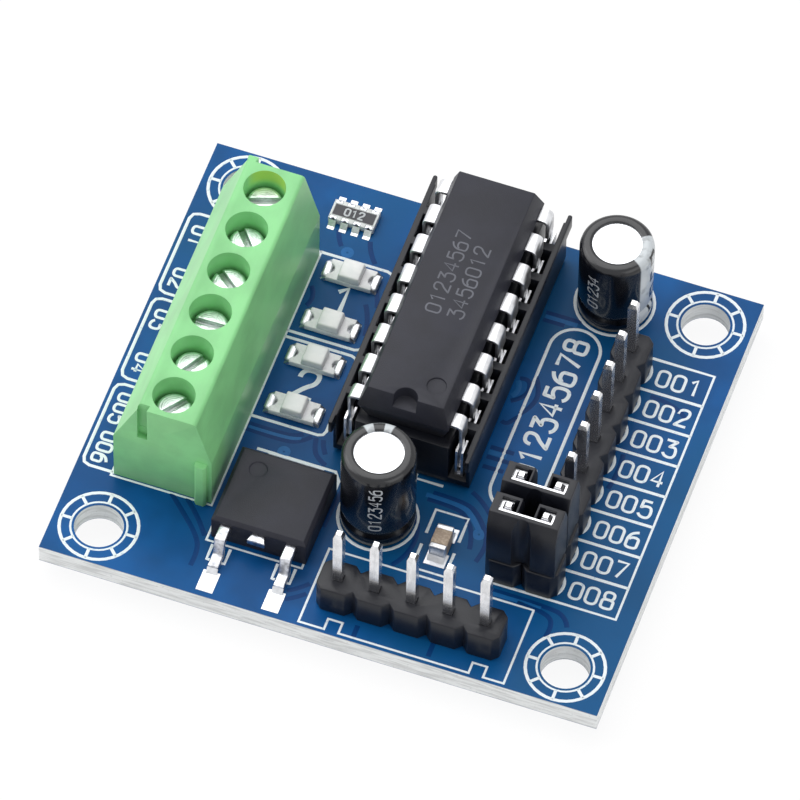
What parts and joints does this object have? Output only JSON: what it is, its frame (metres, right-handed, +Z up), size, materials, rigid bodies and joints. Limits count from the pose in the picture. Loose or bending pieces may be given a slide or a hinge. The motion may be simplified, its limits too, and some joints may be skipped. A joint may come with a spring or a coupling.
{
  "type": "dc motor driver module",
  "caption": "Blue circuit board that drives small motors: screw terminals for wires, a socketed chip, capacitors, a regulator and pin headers with jumper caps.",
  "frame": {"origin": "middle of the four mounting holes, on the underside of the board", "axes": "+Z up out of the component side, +X towards the signal header's edge along the longer side, +Y towards the edge behind the chip"},
  "size_m": [0.0386, 0.0344, 0.0115],
  "materials": {
    "board_mask": "semi-gloss blue solder mask over pale fibreglass",
    "solder": "bright tin solder",
    "terminal_green": "satin green moulding",
    "screw_steel": "bright zinc plated steel",
    "clamp_steel": "plated steel cage",
    "tinned_metal": "bright tinned metal",
    "black_moulding": "fine matt black moulding compound",
    "black_plastic": "satin black plastic",
    "can_aluminium": "satin drawn aluminium",
    "sleeve_film": "glossy black shrink sleeve with a pale stripe",
    "bung_rubber": "matt black rubber",
    "ceramic_brown": "fired brown ceramic",
    "array_black": "black glaze over white ceramic",
    "light_base": "white laminate with tinned ends",
    "light_lens": "milky clear resin"
  },
  "bodies": {
    "board": {"capacitor_1_bung": "bung_rubber", "capacitor_1_can": "can_aluminium", "capacitor_1_leads": "tinned_metal", "capacitor_1_sleeve": "sleeve_film", "capacitor_2_bung": "bung_rubber", "capacitor_2_can": "can_aluminium", "capacitor_2_leads": "tinned_metal", "capacitor_2_sleeve": "sleeve_film", "ceramic_capacitor_body": "ceramic_brown", "ceramic_capacitor_ends": "tinned_metal", "circuit_board": "board_mask", "driver_chip_body": "black_moulding", "driver_chip_leads": "tinned_metal", "jumper_header_base": "black_plastic", "jumper_header_pins": "tinned_metal", "led_1_base": "light_base", "led_1_lens": "light_lens", "led_2_base": "light_base", "led_2_lens": "light_lens", "led_3_base": "light_base", "led_3_lens": "light_lens", "led_4_base": "light_base", "led_4_lens": "light_lens", "power_header_base": "black_plastic", "power_header_pins": "tinned_metal", "regulator_body": "black_moulding", "regulator_leads": "tinned_metal", "regulator_tab": "tinned_metal", "resistor_array_body": "array_black", "resistor_array_ends": "tinned_metal", "signal_header_base": "black_plastic", "signal_header_pins": "tinned_metal", "socket_contacts": "tinned_metal", "socket_frame": "black_plastic", "solder_joints": "solder", "surface_solder": "solder", "terminal_contacts": "tinned_metal", "terminal_housing": "terminal_green"},
    "screw_1": {"terminal_screw_1": "screw_steel"},
    "clamp_1": {"terminal_clamp_1": "clamp_steel"},
    "screw_2": {"terminal_screw_2": "screw_steel"},
    "clamp_2": {"terminal_clamp_2": "clamp_steel"},
    "screw_3": {"terminal_screw_3": "screw_steel"},
    "clamp_3": {"terminal_clamp_3": "clamp_steel"},
    "screw_4": {"terminal_screw_4": "screw_steel"},
    "clamp_4": {"terminal_clamp_4": "clamp_steel"},
    "screw_5": {"terminal_screw_5": "screw_steel"},
    "clamp_5": {"terminal_clamp_5": "clamp_steel"},
    "screw_6": {"terminal_screw_6": "screw_steel"},
    "clamp_6": {"terminal_clamp_6": "clamp_steel"},
    "jumper_1": {"jumper_cap_1_housing": "black_plastic", "jumper_cap_1_contact": "tinned_metal"},
    "jumper_2": {"jumper_cap_2_housing": "black_plastic", "jumper_cap_2_contact": "tinned_metal"}
  },
  "joints": [
    {"name": "screw_1_turn", "type": "hinge", "parent": "board", "child": "screw_1", "pos_m": [-0.0131, 0.00915, 0.0085], "axis": [0, 0, 1], "range_deg": [-1260, 0]},
    {"name": "clamp_1_rise", "type": "slide", "parent": "board", "child": "clamp_1", "axis": [0, 0, 1], "range_m": [0, 0.0014]},
    {"name": "screw_2_turn", "type": "hinge", "parent": "board", "child": "screw_2", "pos_m": [-0.0131, 0.00565, 0.0085], "axis": [0, 0, 1], "range_deg": [-1260, 0]},
    {"name": "clamp_2_rise", "type": "slide", "parent": "board", "child": "clamp_2", "axis": [0, 0, 1], "range_m": [0, 0.0014]},
    {"name": "screw_3_turn", "type": "hinge", "parent": "board", "child": "screw_3", "pos_m": [-0.0131, 0.00215, 0.0085], "axis": [0, 0, 1], "range_deg": [-1260, 0]},
    {"name": "clamp_3_rise", "type": "slide", "parent": "board", "child": "clamp_3", "axis": [0, 0, 1], "range_m": [0, 0.0014]},
    {"name": "screw_4_turn", "type": "hinge", "parent": "board", "child": "screw_4", "pos_m": [-0.0131, -0.00135, 0.0085], "axis": [0, 0, 1], "range_deg": [-1260, 0]},
    {"name": "clamp_4_rise", "type": "slide", "parent": "board", "child": "clamp_4", "axis": [0, 0, 1], "range_m": [0, 0.0014]},
    {"name": "screw_5_turn", "type": "hinge", "parent": "board", "child": "screw_5", "pos_m": [-0.0131, -0.00485, 0.0085], "axis": [0, 0, 1], "range_deg": [-1260, 0]},
    {"name": "clamp_5_rise", "type": "slide", "parent": "board", "child": "clamp_5", "axis": [0, 0, 1], "range_m": [0, 0.0014]},
    {"name": "screw_6_turn", "type": "hinge", "parent": "board", "child": "screw_6", "pos_m": [-0.0131, -0.00835, 0.0085], "axis": [0, 0, 1], "range_deg": [-1260, 0]},
    {"name": "clamp_6_rise", "type": "slide", "parent": "board", "child": "clamp_6", "axis": [0, 0, 1], "range_m": [0, 0.0014]},
    {"name": "jumper_1_pull", "type": "slide", "parent": "board", "child": "jumper_1", "axis": [0, 0, 1], "range_m": [0, 0.006]},
    {"name": "jumper_2_pull", "type": "slide", "parent": "board", "child": "jumper_2", "axis": [0, 0, 1], "range_m": [0, 0.006]}
  ],
  "couplings": [
    {"joint": "screw_1_turn", "follows": "clamp_1_rise", "rad_per_m": -15708},
    {"joint": "screw_2_turn", "follows": "clamp_2_rise", "rad_per_m": -15708},
    {"joint": "screw_3_turn", "follows": "clamp_3_rise", "rad_per_m": -15708},
    {"joint": "screw_4_turn", "follows": "clamp_4_rise", "rad_per_m": -15708},
    {"joint": "screw_5_turn", "follows": "clamp_5_rise", "rad_per_m": -15708},
    {"joint": "screw_6_turn", "follows": "clamp_6_rise", "rad_per_m": -15708}
  ]
}
